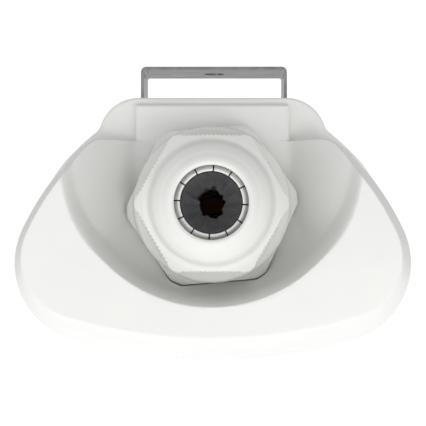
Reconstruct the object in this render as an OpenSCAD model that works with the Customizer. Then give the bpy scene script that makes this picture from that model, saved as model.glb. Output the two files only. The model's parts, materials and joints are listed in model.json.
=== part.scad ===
// Sealed LED batten luminaire: a D-shaped tube with moulded end caps, a cable gland at one
// end, a blanking plug at the other, and two spring clips that hold it under a ceiling.
// Millimetres. X is across, Y is along the lamp with the gland end towards -Y, Z is up.
// The origin is on the ceiling plane, half way between the two clip screw holes.

/* [Overall] */
// Length over both end caps, without the gland
lamp_len = 600; // [400:50:1500]
// Height from the gland's axis up to the ceiling plane
axis_drop = 32.4; // [30:0.1:40]
// How far each end cap stands out beyond the tube's end
nose_len = 30; // [20:1:40]
// Distance of the two clip holes from each other
clip_pitch = 450; // [200:10:1200]

/* [Outline of the end cap] */
// Radius of the shallow bottom arc
bottom_r = 100; // [80:1:140]
// Lowest point, measured from the gland's axis
bottom_w = -30.9; // [-36:0.1:-26]
// Radius of the round side corners
side_r = 16; // [10:0.5:20]
// Half distance between the side corner centres
side_x = 24; // [18:0.5:30]
// Radius of the sloping flanks
flank_r = 55; // [40:1:80]
// Radius of the rounded shoulders at the top
shoulder_r = 8; // [4:0.5:10]
// Half distance between the shoulder centres
shoulder_x = 14.8; // [12:0.1:18]
// Flat top, measured from the gland's axis
top_w = 21.7; // [18:0.1:26]
// Radius of the hollow corner where flank and shoulder meet
waist_r = 3; // [1:0.5:5]

/* [End cap] */
// Draft of the nose at its sides
draft_side = 4.3; // [1:0.1:7]
// Draft of the nose at its bottom
draft_bottom = 5.4; // [1:0.1:8]
// Radius of the scoop that makes room for a hand at the gland
scoop_r = 27.8; // [20:0.1:30]
// Centre of the scoop above the gland's axis
scoop_w = 8.5; // [0:0.1:12]
// Radius of the hollow curve from the scoop's floor up to its wall
scoop_bend = 12; // [6:0.5:16]
// Half width of the scoop's flat floor, where its ramps to both sides begin
ramp_x = 15.6; // [12:0.1:20]
// Rise of the ramps, millimetres up for each millimetre outwards
ramp_k = 1.45; // [0.8:0.05:2]
// Radius of the flat round place under the blanking plug
spot_r = 14.9; // [14:0.1:20]
// Half width of the raised seat behind the gland
boss_x = 15.3; // [12:0.1:20]
// Length of the skirt that covers the tube's end
skirt_len = 10; // [6:1:20]
// Wall of the caps
cap_wall = 2.0; // [1.5:0.1:3]

/* [Tube] */
// Step from the cap's outline down to the tube's outline
tube_step = 2.0; // [1.5:0.1:3]
// Wall of the white back profile
back_wall = 1.8; // [1.2:0.1:2.5]
// Wall of the opal diffuser
opal_wall = 1.6; // [1:0.1:2.5]
// Height where back profile and diffuser meet
split_w = -6.5; // [-12:0.5:-4]
// Half width of the rail on top
rail_x = 15.3; // [12:0.1:18]
// Top of the rail
rail_w = 19; // [17:0.1:20]

/* [Cable gland] */
// Across flats of the gland body
body_af = 30; // [24:0.5:36]
// Across flats of the dome nut
nut_af = 26; // [22:0.5:33]
// Radius of the tail thread
thread_r = 11.1; // [8:0.1:14]
// Radius of the nut's front opening
mouth_r = 6.9; // [5:0.1:9]
// Radius of the cable hole in the seal
cable_r = 2.6; // [1.5:0.1:5]
// Number of clamping fingers
fingers = 12; // [8:1:16]

/* [Clips] */
// Thickness of the clip's strip
strip_t = 0.7; // [0.5:0.1:1.2]
// Width of the strip along the lamp
strip_y = 20; // [12:1:30]
// Outer half width of the clip
clip_x = 16.4; // [15:0.1:20]
// Radius of each ceiling screw hole
screw_hole_r = 2.25; // [1.5:0.05:3]

/* [Inside] */
// Thickness of the gear tray
tray_t = 0.8; // [0.6:0.1:1.5]
// Number of LED chips on each board
chip_count = 24; // [6:1:60]
// Length of the driver case
driver_len = 150; // [90:5:220]

/* [Hidden] */
tube_half = lamp_len / 2 - nose_len;
eps = 0.02;
// centres of the outline's arcs; every inset of the outline keeps them
side_w = bottom_w + bottom_r - sqrt(pow(bottom_r - side_r, 2) - side_x * side_x);
flank_a = 25;
fl_x = side_x - (flank_r - side_r) * cos(flank_a);
fl_w = side_w - (flank_r - side_r) * sin(flank_a);
sh_w = top_w - shoulder_r;
// centre of the hollow corner, tangent to the flank and to the shoulder
wd = [shoulder_x - fl_x, sh_w - fl_w];
wl = norm(wd);
wa = (pow(flank_r + waist_r, 2) - pow(shoulder_r + waist_r, 2) + wl * wl) / (2 * wl);
wh = sqrt(pow(flank_r + waist_r, 2) - wa * wa);
wu = wd / wl;
wc = [fl_x, fl_w] + wa * wu + wh * [wu[1], -wu[0]];
flank_end = atan2(wc[1] - fl_w, wc[0] - fl_x);
shoulder_a = atan2(wc[1] - sh_w, wc[0] - shoulder_x);
bottom_a = atan2(side_w - bottom_w - bottom_r, side_x);

// depths on the cap, measured from the tube's end towards the free end
land_u = 1.5;      // face that the gasket is pressed on
plate_u = 7.0;     // shoulder face
seat_u = 9.5;      // floor of the scoop and face of the boss, under the gland's washer
nose_top_w = 12.9; // top edge of the nose
nose_corner = 5;   // radius where the nose's top meets its flanks

washer_t = 1.0;
hex_u0 = seat_u + washer_t;
hex_u1 = hex_u0 + 6;
nut_u0 = hex_u1 + 0.5;
nut_u1 = nut_u0 + 11;
nut_end = nut_u0 + 18;
tail_u = -3.5;

// Node to draw, or all of them

// ---------- outlines, in the plane across the lamp: x across, w up from the gland's axis

function arc(c, r, a0, a1, n, i0 = 0) =
  [for (i = [i0:n]) c + r * [cos(a0 + (a1 - a0) * i / n), sin(a0 + (a1 - a0) * i / n)]];

function mirrored(h) =
  concat(h, [for (i = [len(h) - 1:-1:0]) if (abs(h[i][0]) > 0.001) [-h[i][0], h[i][1]]]);

// full outline of the cap, inset by d
function cap_half(d) = concat(
  arc([0, bottom_w + bottom_r], bottom_r - d, -90, bottom_a, 9),
  arc([side_x, side_w], side_r - d, bottom_a, flank_a, 12, 1),
  arc([fl_x, fl_w], flank_r - d, flank_a, flank_end, 9, 1),
  arc(wc, waist_r + d, flank_end + 180, shoulder_a + 180, 4, 1),
  arc([shoulder_x, sh_w], shoulder_r - d, shoulder_a, 90, 8, 1));
function cap_line(d) = mirrored(cap_half(d));

// outline of the tube: the same D below, a narrower rail on top
function d_half(d, w1) = concat(
  arc([0, bottom_w + bottom_r], bottom_r - d, -90, bottom_a, 9),
  arc([side_x, side_w], side_r - d, bottom_a, flank_a, 12, 1),
  arc([fl_x, fl_w], flank_r - d, flank_a, asin((w1 - fl_w) / (flank_r - d)), 9, 1));
function tube_line(d, w1, rx, rw) =
  mirrored(concat(d_half(d, w1), [[rx, w1], [rx, rw - 0.8], [rx - 0.8, rw]]));

// section of the nose where it has taken the share t of its draft
function nose_half(t, d) =
  let (ds = draft_side * t + d, db = draft_bottom * t + d, rb = bottom_r - db,
    rs = side_r - ds, wb = bottom_w + db,
    sw = wb + rb - sqrt(pow(rb - rs, 2) - side_x * side_x), ab = atan2(sw - wb - rb, side_x),
    fr = flank_r - ds, fc = [side_x, sw] - (fr - rs) * [cos(flank_a), sin(flank_a)],
    cw = nose_top_w - d - nose_corner,
    cc = [fc[0] + sqrt(pow(fr - nose_corner, 2) - pow(cw - fc[1], 2)), cw],
    ca = atan2(cc[1] - fc[1], cc[0] - fc[0]))
  concat(arc([0, wb + rb], rb, -90, ab, 8), arc([side_x, sw], rs, ab, flank_a, 10, 1),
    arc(fc, fr, flank_a, ca, 6, 1), arc(cc, nose_corner, ca, 90, 4, 1));
function nose_line(t, d) = mirrored(nose_half(t, d));

// solid through a list of sections with equal point counts, at the heights us
module loft(secs, us) {
  n = len(secs[0]);
  m = len(secs);
  pts = [for (k = [0:m - 1]) for (p = secs[k]) [p[0], p[1], us[k]]];
  faces = concat(
    [[for (i = [0:n - 1]) n - 1 - i]],
    [[for (i = [0:n - 1]) (m - 1) * n + i]],
    [for (k = [0:m - 2]) for (i = [0:n - 1])
      [k * n + i, k * n + (i + 1) % n, (k + 1) * n + (i + 1) % n, (k + 1) * n + i]]);
  // reversed order: faces seen from outside run clockwise
  polyhedron(points = pts, faces = [for (f = faces) [for (i = [len(f) - 1:-1:0]) f[i]]],
    convexity = 6);
}

// ---------- frames

// children are drawn as (x, w, u): u leaves the lamp at the gland end
module front_end() translate([0, -tube_half, -axis_drop]) rotate([90, 0, 0]) children();
// the same at the other end
module rear_end() rotate([0, 0, 180]) front_end() children();
// children are drawn as (x, w) and extruded over the tube's whole length
module along(y0, y1) translate([0, y1, -axis_drop]) rotate([90, 0, 0])
  linear_extrude(y1 - y0) children();
// children in plain millimetres with z measured from the gland's axis
module inside() translate([0, 0, -axis_drop]) children();

module box(x0, x1, y0, y1, z0, z1) translate([x0, y0, z0]) cube([x1 - x0, y1 - y0, z1 - z0]);
module slab(x0, x1, w0, w1, u0, u1) box(x0, x1, w0, w1, u0, u1);
module disc(r, u0, u1, fn = 96) translate([0, 0, u0]) cylinder(r = r, h = u1 - u0, $fn = fn);
module hexagon(af, u0, u1, a = 0)
  translate([0, 0, u0]) rotate(a) cylinder(r = af / 2 / cos(30), h = u1 - u0, $fn = 6);
module turned(pts, fn = 96) rotate_extrude($fn = fn) polygon(pts);

// ---------- end cap, used at both ends

// flat place that is sunk into the scoop for the gland's hexagon or for the plug, grown by g
module seat_pocket(gland, g = 0) {
  f = seat_u - 1.3 * g;
  if (gland) hexagon(body_af + 0.4 + 2 * g, f, nose_len + 2, 5);
  else disc(spot_r + g, f, nose_len + 2);
}

// scoop, grown by g for the wall behind it: a round wall with a hollow foot, and a floor that
// ramps up to both sides
module scoop(g = 0) {
  f = seat_u - 1.3 * g;
  h = nose_len + 2 + g;
  x1 = 36;
  r = ramp_k * (x1 - ramp_x) + seat_u - g * sqrt(1 + ramp_k * ramp_k);
  x0 = x1 - (r - f) / ramp_k;
  intersection() {
    translate([0, scoop_w, 0]) turned(concat(
      [[0, f]],
      arc([scoop_r - 1.5 - scoop_bend + g, f + scoop_bend], scoop_bend, -90, -8, 8),
      arc([scoop_r + 1.0 + g, nose_len - 1.2], 1.2, 180, 118, 3),
      [[scoop_r + 3 + g, h], [0, h]]));
    translate([0, 40, 0]) rotate([90, 0, 0]) linear_extrude(80)
      polygon([[-x1, r], [-x0 - 1.5, f + 1.5 * ramp_k], [-x0 - 0.4, f + 0.95], [-x0 + 1.6, f],
        [-x0 + 1.6, f - 1], [x0 - 1.6, f - 1], [x0 - 1.6, f], [x0 + 0.4, f + 0.95],
        [x0 + 1.5, f + 1.5 * ramp_k], [x1, r], [x1, h + 1], [-x1, h + 1]]);
  }
}

module end_cap(gland) {
  ts = [0, 0.93, 1.0, 1.12];
  us = [3, nose_len - 1.1, nose_len - 0.35, nose_len];
  tube_gap = 0.3;
  difference() {
    union() {
      difference() {
        union() {
          translate([0, 0, -skirt_len]) linear_extrude(plate_u - 0.6 + skirt_len)
            polygon(cap_line(0));
          translate([0, 0, plate_u - 0.7]) linear_extrude(0.4) polygon(cap_line(0.25));
          translate([0, 0, plate_u - 0.7]) linear_extrude(0.7) polygon(cap_line(0.65));
          loft([for (t = ts) nose_line(t, 0)], us);
        }
        scoop();
        seat_pocket(gland);
      }
      // raised seat of the gland
      intersection() {
        slab(-boss_x, boss_x, -16, top_w - 1.6, plate_u - 1, seat_u);
        translate([0, 0, 0]) linear_extrude(seat_u + 1) polygon(cap_line(0.65));
      }
    }
    // room for the tube's end
    translate([0, 0, -skirt_len - 1]) linear_extrude(skirt_len + 1 + land_u)
      polygon(tube_line(tube_step - tube_gap, 13 + tube_gap, rail_x + tube_gap,
        rail_w + tube_gap));
    // hollow behind the plate
    translate([0, 0, land_u - 1]) linear_extrude(4)
      polygon(tube_line(tube_step + back_wall + 0.8, 10.4, 11, 16.6));
    // hollow of the nose, behind the scoop's wall
    difference() {
      loft([nose_line(0.1, 2.2), nose_line(1, cap_wall)], [land_u - 0.5, nose_len - cap_wall]);
      scoop(cap_wall);
      seat_pocket(gland, cap_wall);
      slab(-30, 30, -15, 25, 0, seat_u - 4.4);
      slab(-30, 30, 4, 25, 0, nose_len);
    }
    disc(thread_r + 0.2, 0, seat_u + 1);
  }
}

module front_end_cap() color("#f2f2f0") front_end() end_cap(true);
module rear_end_cap() color("#f2f2f0") rear_end() end_cap(false);

// flat ring between the tube's end and the cap
module gasket() difference() {
  translate([0, 0, 0.3]) linear_extrude(land_u - 0.3)
    polygon(tube_line(tube_step - 0.1, 12.9, rail_x - 0.1, rail_w - 0.1));
  translate([0, 0, -1]) linear_extrude(4)
    polygon(tube_line(tube_step + back_wall + 0.6, 10.6, 11.2, 16.8));
}
module front_gasket() color("#2c2c2c") front_end() gasket();
module rear_gasket() color("#2c2c2c") rear_end() gasket();

// ---------- cable gland

// rings of a thread of radius r between u0 and u1, as (r, u) points from low to high
function thread_pts(r, u0, u1, p = 1.5, d = 0.75) =
  let (n = floor((u1 - u0) / p), s = (u1 - u0) / n)
  [for (i = [0:n - 1]) for (q = [[-d, 0.04], [0, 0.4], [0, 0.6], [-d, 0.96]])
    [r + q[0], u0 + (i + q[1]) * s]];

module gland_body() color("#efefec") front_end() difference() {
  union() {
    intersection() {
      hexagon(body_af, hex_u0, hex_u1, 5);
      turned([[0, hex_u0], [16.0, hex_u0], [16.7, hex_u0 + 0.5], [16.7, hex_u1 - 0.9],
        [15.6, hex_u1], [0, hex_u1]]);
    }
    turned(concat([[7.6, tail_u], [thread_r - 0.8, tail_u]], thread_pts(thread_r, tail_u, hex_u0),
      [[10, hex_u0 + 0.3], [10, hex_u1]], thread_pts(10.6, hex_u1 + 0.1, 26.4),
      [[9.4, 26.5], [6.45, 33.3], [5.7, 33.3], [7.6, 26.2]]));
  }
  // slots between the clamping fingers
  for (i = [0:fingers - 1]) rotate(i * 360 / fingers - 3.5)
    translate([5, -0.25, 26.9]) cube([6, 0.5, 8]);
  disc(7.6, tail_u - 1, 26.2);
}

module gland_seal() color("#3c3c3e") front_end()
  turned([[cable_r, 20], [7.55, 20], [7.55, 26.1], [5.68, 33.0], [4.9, 33.0],
    [cable_r, 31.6]]);

module gland_washer() color("#3c3c3e") front_end()
  difference() { disc(14.6, seat_u, hex_u0); disc(thread_r + 0.1, seat_u - 1, hex_u0 + 1); }

module locknut(u0) difference() {
  intersection() {
    hexagon(27, u0 - 4.2, u0, 11);
    turned([[0, u0 - 4.2], [14.4, u0 - 4.2], [15.4, u0 - 3.5], [15.4, u0], [0, u0]]);
  }
  disc(thread_r + 0.06, u0 - 6, u0 + 1);
}
module gland_locknut() color("#efefec") front_end() locknut(land_u + 4 - 1 - 0.02);

// hexagon whose flats carry fine upright ribs
function ribbed_hex(af, n, d) = [for (k = [0:5]) for (i = [0:n - 1]) for (s = [0:3])
  let (h = af / 2, l = h * tan(30), a = 60 * k + 30, x = -l * 0.82 + l * 1.64 * i / n,
    st = l * 1.64 / n, xx = x + st * [0.1, 0.4, 0.6, 0.9][s], hh = h - d * [0, 1, 1, 0][s])
  if (true) [hh * cos(a) - xx * sin(a), hh * sin(a) + xx * cos(a)]];
function hex_with_corners(af, n, d) = [for (k = [0:5]) for (j = [-1:4 * n - 1])
  j < 0 ? af / 2 / cos(30) * [cos(60 * k), sin(60 * k)]
        : ribbed_hex(af, n, d)[k * 4 * n + j]];

module gland_nut() color("#efefec") front_end() difference() {
  union() {
    intersection() {
      translate([0, 0, nut_u0]) linear_extrude(nut_u1 - nut_u0)
        polygon(hex_with_corners(nut_af, 15, 0.3));
      turned([[0, nut_u0], [15.1, nut_u0], [15.1, nut_u1 - 1.8], [12.8, nut_u1], [0, nut_u1]]);
    }
    // round collar at its base
    turned([[0, nut_u0], [14.6, nut_u0], [15.1, nut_u0 + 0.5], [15.1, nut_u0 + 1.7],
      [14.6, nut_u0 + 2.2], [0, nut_u0 + 2.2]]);
    // domed front
    turned(concat([[0, nut_u1 - 1], [11.6, nut_u1 - 1], [11.6, nut_u1 + 0.8]],
      arc([7.6, nut_end - 5.6], 4.0, 15, 75, 5), [[7.9, nut_end], [0, nut_end]]));
  }
  turned([[0, nut_u0 - 1], [10.66, nut_u0 - 1], [10.66, 26.5], [9.95, 26.7], [7.35, 33.9],
    [mouth_r, 34.0], [mouth_r, nut_end + 1], [0, nut_end + 1]]);
}

// ---------- blanking plug at the rear end

module plug() color("#efefec") rear_end() difference() {
  union() {
    intersection() {
      hexagon(24, hex_u0, hex_u0 + 4.5, 0);
      turned([[0, hex_u0], [13.4, hex_u0], [13.4, hex_u0 + 3.4], [11.4, hex_u0 + 4.5],
        [0, hex_u0 + 4.5]]);
    }
    disc(13.8, hex_u0, hex_u0 + 1);
    turned(concat([[0, -1], [thread_r - 0.8, -1]], thread_pts(thread_r, -1, hex_u0),
      [[10, hex_u0 + 0.3], [0, hex_u0 + 0.4]]));
  }
  // blind hole from the inside, and a screwdriver slot outside
  disc(8.2, -2, hex_u0 + 0.5);
  slab(-8, 8, -0.9, 0.9, hex_u0 + 3, hex_u0 + 6);
}
module plug_washer() color("#3c3c3e") rear_end()
  difference() { disc(14.4, seat_u, hex_u0 - 0.02); disc(thread_r + 0.1, seat_u - 1, hex_u0 + 1); }
module plug_locknut() color("#efefec") rear_end() locknut(land_u + 4 - 1 - 0.02);

// ---------- tube

module back_profile() color("#f4f4f2") difference() {
  union() {
    difference() {
      along(-tube_half, tube_half) polygon(tube_line(tube_step, 13, rail_x, rail_w));
      along(-tube_half - 1, tube_half + 1)
        polygon(tube_line(tube_step + back_wall, 11.2, 11.4, rail_w - back_wall));
      // side grooves for the clips
      for (s = [-1, 1]) inside()
        box(s > 0 ? 13.1 : -17, s > 0 ? 17 : -13.1, -400, 400, 14.2, 16.6);
    }
    // ledges above and below the tray's edges, cut to the profile's outline
    intersection() {
      along(-tube_half, tube_half) polygon(tube_line(tube_step + 0.5, 12.5, 14, 18));
      for (s = [-1, 1]) for (w = [-2.9, -5.9]) inside()
        box(s > 0 ? 31.2 : -40, s > 0 ? 40 : -31.2, -tube_half, tube_half, w, w + 1.4);
    }
  }
  inside() box(-50, 50, -tube_half - 1, tube_half + 1, -60, split_w);
}

module diffuser() color("#fbfbf7", 0.8) difference() {
  along(-tube_half, tube_half) polygon(tube_line(tube_step, 13, rail_x, rail_w));
  along(-tube_half - 1, tube_half + 1)
    polygon(tube_line(tube_step + opal_wall, 11, 11, 17));
  inside() box(-50, 50, -tube_half - 1, tube_half + 1, split_w - 0.02, 60);
}

// ---------- ceiling clips

module clip_at(y) color("#b9bcc0") translate([0, y, 0]) difference() {
  translate([0, strip_y / 2, 0]) rotate([90, 0, 0]) linear_extrude(strip_y) {
    // half outline from the hook up over the top, then back along the inner side
    h = axis_drop - 15.1;
    o = concat([[clip_x - 2.4, -h - 0.0]], [[clip_x - 1.2, -h]],
      arc([clip_x - 1.2, -h + 1.2], 1.2, -90, 0, 4, 1), arc([clip_x - 1.2, -1.2], 1.2, 0, 90, 5));
    i = concat(arc([clip_x - 1.2, -1.2], 1.2 - strip_t, 90, 0, 4),
      arc([clip_x - 1.2, -h + 1.2], 1.2 - strip_t, 0, -90, 4), [[clip_x - 2.4, -h + strip_t]]);
    polygon(concat(o, [for (k = [len(o) - 1:-1:0]) [-o[k][0], o[k][1]]],
      [for (k = [len(i) - 1:-1:0]) [-i[k][0], i[k][1]]], i));
  }
  translate([0, 0, -3]) cylinder(r = screw_hole_r, h = 6, $fn = 48);
}
module clip_front() clip_at(-clip_pitch / 2);
module clip_rear() clip_at(clip_pitch / 2);

// ---------- gear tray and what it carries

tray_w = -4.0; // underside of the tray
board_x = 15;
board_y = 252;
block_y = -258;
drv_y = -175;
pitch = 8;

module gear_tray() color("#e9e9e6") inside() difference() {
  union() {
    box(-33.2, 33.2, -262, 262, tray_w, tray_w + tray_t);
    // upturned stiffening edges on both sides of the driver
    for (s = [-1, 1]) box(s * 27 - 0.4, s * 27 + 0.4, -225, 250, tray_w, tray_w + 4);
  }
  for (x = [-6, 6]) translate([x, lead_y, -20]) cylinder(r = 2.2, h = 30, $fn = 32);
  for (p = rivet_at) translate([p[0], p[1], -20]) cylinder(r = 1.65, h = 30, $fn = 24);
  for (p = driver_fix) translate([p[0], p[1], -20]) cylinder(r = 1.6, h = 30, $fn = 24);
  translate([21, -212, -20]) cylinder(r = 2.1, h = 30, $fn = 24);
  translate([0, -231, -20]) cylinder(r = 1.6, h = 30, $fn = 24);
}

rivet_at = [for (s = [-1, 1]) for (y = [-235, 21, 105, 235]) [s * board_x, y]];
lead_y = drv_y + driver_len + 14; // where the LED leads pass the tray
driver_fix = [for (s = [-1, 1]) for (y = [drv_y - 5, drv_y + driver_len + 5]) [s * 10, y]];

module led_boards() color("#f7f7f5") inside() for (s = [-1, 1]) difference() {
  box(s * board_x - 10, s * board_x + 10, -board_y, board_y, tray_w - 1.65, tray_w - 0.05);
  for (p = rivet_at) translate([p[0], p[1], -20]) cylinder(r = 1.65, h = 30, $fn = 24);
  translate([s * 6, lead_y, -20]) cylinder(r = 2.2, h = 30, $fn = 32);
}

module led_chips() color("#f3e9a8") inside() for (s = [-1, 1]) for (i = [0:chip_count - 1])
  translate([s * board_x, -board_y + (i + 0.5) * 2 * board_y / chip_count, tray_w - 2.05])
    cube([2.8, 3.5, 0.76], center = true);

module board_rivets() color("#efefec") inside() for (p = rivet_at) translate([p[0], p[1], 0]) {
  translate([0, 0, tray_w - 1.65 - 1.0]) cylinder(r1 = 2.2, r2 = 3, h = 1.0, $fn = 24);
  translate([0, 0, tray_w - 1.7]) cylinder(r = 1.55, h = 3.4, $fn = 24);
  translate([0, 0, tray_w + tray_t + 0.05]) cylinder(r1 = 2.1, r2 = 1.0, h = 1.6, $fn = 24);
}

module driver_case() color("#e4e6e8") inside() difference() {
  union() {
    box(-15, 15, drv_y, drv_y + driver_len, tray_w + tray_t + 0.05, 9.6);
    for (y = [drv_y - 10, drv_y + driver_len])
      box(-14, 14, y, y + 10, tray_w + tray_t + 0.05, tray_w + tray_t + 1.4);
  }
  box(-13.6, 13.6, drv_y + 1.4, drv_y + driver_len - 1.4, tray_w + tray_t + 1.5, 12);
  for (p = driver_fix) translate([p[0], p[1], -10]) cylinder(r = 1.6, h = 30, $fn = 24);
  // ways for the leads through both end walls
  for (x = [-6, 6]) for (y = [drv_y - 1, drv_y + driver_len - 3])
    translate([x, y, 3]) rotate([-90, 0, 0]) cylinder(r = 1.5, h = 4, $fn = 24);
}
module driver_lid() color("#d9dcdf") inside() union() {
  box(-15, 15, drv_y, drv_y + driver_len, 9.62, 10.6);
  box(-13.5, 13.5, drv_y + 1.5, drv_y + driver_len - 1.5, 8.6, 9.7);
}

// pan head screw, head up, shank down to depth d
module pan_screw(d, r = 1.5, hr = 2.8) difference() {
  turned([[0, -d], [r * 0.5, -d], [r, -d + r], [r, 0], [hr, 0], [hr, 0.7], [hr * 0.75, 1.5],
    [0, 1.9]], 32);
  for (a = [0, 90]) rotate(a) translate([-hr * 0.6, -0.3, 0.9]) cube([hr * 1.2, 0.6, 2]);
}
module driver_screws() color("#c9ccd0") inside() for (p = driver_fix)
  translate([p[0], p[1], tray_w + tray_t + 1.42]) pan_screw(2.1);

// three-pole push-wire block facing the gland
module terminal_block() color("#e8e8e4") inside() difference() {
  union() {
    box(-12.5, 12.5, block_y, block_y + 20, tray_w + tray_t + 0.05, 8.8);
    box(-5, 5, block_y + 19, block_y + 32, tray_w + tray_t + 0.05, -1.2);
  }
  for (x = [-pitch, 0, pitch]) {
    translate([x, block_y - 1, 5.2]) rotate([-90, 0, 0]) cylinder(r = 1.7, h = 12, $fn = 32);
    translate([x, block_y - 0.01, 5.2]) rotate([-90, 0, 0])
      cylinder(r1 = 2.7, r2 = 1.7, h = 2.2, $fn = 32);
    box(x - 2.3, x + 2.3, block_y - 1, block_y + 11, -1.4, 2.2);
    box(x - 2.9, x + 2.9, block_y + 10, block_y + 17, -1.4, 7.2);
    translate([x, block_y + 15, 3]) rotate([-90, 0, 0]) cylinder(r = 1.5, h = 8, $fn = 24);
  }
  translate([0, -231, -10]) cylinder(r = 1.6, h = 30, $fn = 24);
}
module terminal_screw() color("#c9ccd0") inside()
  translate([0, -231, -1.18]) pan_screw(4);
module terminal_contacts() color("#c9a24a") inside() for (x = [-pitch, 0, pitch]) {
  box(x - 2.6, x + 2.6, block_y + 15.6, block_y + 16.4, -1.0, 7.0);
  box(x - 2.6, x + 2.6, block_y + 11.6, block_y + 16.0, 6.2, 7.0);
  box(x - 2.2, x + 2.2, block_y + 14.3, block_y + 16.0, 1.9, 4.1);
}
module button(x) color("#e07a28") inside() difference() {
  box(x - 2.2, x + 2.2, block_y - 2.2, block_y + 9.2, -1.3, 2.1);
  box(x - 3, x + 3, block_y - 2.6, block_y - 1.9, 0.1, 0.7);
}
module terminal_button_live() button(-pitch);
module terminal_button_neutral() button(0);
module terminal_button_earth() button(pitch);

module earth_tag() color("#c9a24a") inside() difference() {
  union() {
    translate([21, -212, tray_w + tray_t + 0.05]) cylinder(r = 4.4, h = 0.8, $fn = 48);
    box(19.4, 22.6, -226, -213, tray_w + tray_t + 0.05, tray_w + tray_t + 0.85);
  }
  translate([21, -212, -10]) cylinder(r = 2.1, h = 20, $fn = 24);
}
module earth_screw() color("#c9ccd0") inside()
  translate([21, -212, tray_w + tray_t + 0.87]) pan_screw(1.6, 1.5, 3.6);

// ---------- leads: eight-sided sweeps along smooth curves

function bez(p, t) = pow(1 - t, 3) * p[0] + 3 * pow(1 - t, 2) * t * p[1]
  + 3 * (1 - t) * t * t * p[2] + t * t * t * p[3];
function unit(v) = v / norm(v);
// points of a chain of curves: each entry holds four control points
function chain(cs, n) = [for (k = [0:len(cs) - 1]) for (i = [(k == 0 ? 0 : 1):n]) bez(cs[k], i / n)];
module lead(cs, r = 1.1, n = 12, ref = [1, 0, 0]) {
  p = chain(cs, n);
  m = len(p);
  rings = [for (k = [0:m - 1])
    let (t = unit(p[min(k + 1, m - 1)] - p[max(k - 1, 0)]), a = unit(cross(t, ref)),
      b = cross(t, a)) [for (i = [0:7]) p[k] + r * (cos(45 * i) * a + sin(45 * i) * b)]];
  faces = concat([[for (i = [0:7]) i]], [[for (i = [0:7]) (m - 1) * 8 + 7 - i]],
    [for (k = [0:m - 2]) for (i = [0:7])
      [k * 8 + i, (k + 1) * 8 + i, (k + 1) * 8 + (i + 1) % 8, k * 8 + (i + 1) % 8]]);
  polyhedron(points = [for (g = rings) for (q = g) q], faces = faces, convexity = 6);
}

lead_y0 = block_y + 16.6;
module live_lead() color("#7a4a2a") inside() lead([
  [[-pitch, lead_y0, 3], [-pitch, lead_y0 + 12, 3], [-16, -226, 6], [-16, -212, 5]],
  [[-16, -212, 5], [-16, -198, 4], [-6, -194, 3], [-6, drv_y + 6, 3]]], ref = [0, 0, 1]);
module neutral_lead() color("#2f5f9e") inside() lead([
  [[0, lead_y0, 3], [0, lead_y0 + 12, 3], [4, -224, 6.5], [5, -208, 6]],
  [[5, -208, 6], [6, -196, 5.5], [6, -190, 3], [6, drv_y + 6, 3]]], ref = [0, 0, 1]);
module earth_lead() color("#6a9a3a") inside() lead([
  [[pitch, lead_y0, 3], [pitch, lead_y0 + 9, 3], [16, -232, 4], [20.4, -232, 1]],
  [[20.4, -232, 1], [21, -232, -0.4], [21, -229, tray_w + tray_t + 1.98],
    [21, -222, tray_w + tray_t + 1.98]]], ref = [0, 0, 1]);
led_y = drv_y + driver_len;
module led_lead(x, sx) inside() lead([
  [[x, led_y - 6, 3], [x, led_y + 6, 3], [x, led_y + 14, 2], [x, led_y + 14, -4]],
  [[x, led_y + 14, -4], [x, led_y + 14, -6.6], [x, led_y + 14, -7.4],
    [x + sx * 2.5, led_y + 16, -7.4]],
  [[x + sx * 2.5, led_y + 16, -7.4], [x + sx * 5, led_y + 18, -7.4], [x + sx * 5, led_y + 20, -6.9],
    [x + sx * 6, led_y + 24, -6.9]]], r = 1.1);
module led_lead_plus() color("#b03a2e") led_lead(6, 1);
module led_lead_minus() color("#333333") led_lead(-6, -1);

clip_front();
clip_rear();
back_profile();
diffuser();
gear_tray();
led_boards();
led_chips();
board_rivets();
driver_case();
driver_lid();
driver_screws();
terminal_block();
terminal_contacts();
terminal_button_live();
terminal_button_neutral();
terminal_button_earth();
terminal_screw();
earth_tag();
earth_screw();
live_lead();
neutral_lead();
earth_lead();
led_lead_plus();
led_lead_minus();
front_end_cap();
front_gasket();
gland_body();
gland_seal();
gland_washer();
gland_locknut();
gland_nut();
rear_end_cap();
rear_gasket();
plug();
plug_washer();
plug_locknut();
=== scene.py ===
"""Looks of a sealed LED batten luminaire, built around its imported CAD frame.

The lamp is a D-shaped tube of a white back profile and an opal diffuser, closed by two
moulded end caps. The front cap carries a nylon cable gland, the rear cap a blanking plug.
Two stainless spring clips hold the lamp under a ceiling. Sizes inside the classes are in
millimetres, in the cap's own directions: x across, w up from the gland's axis, u out of the
lamp's end. Every mesh is placed in metres in the frame of the CAD model.
"""

import json
import logging
import math
from dataclasses import dataclass, field
from enum import Enum
from typing import Any, Iterable, Sequence

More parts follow.
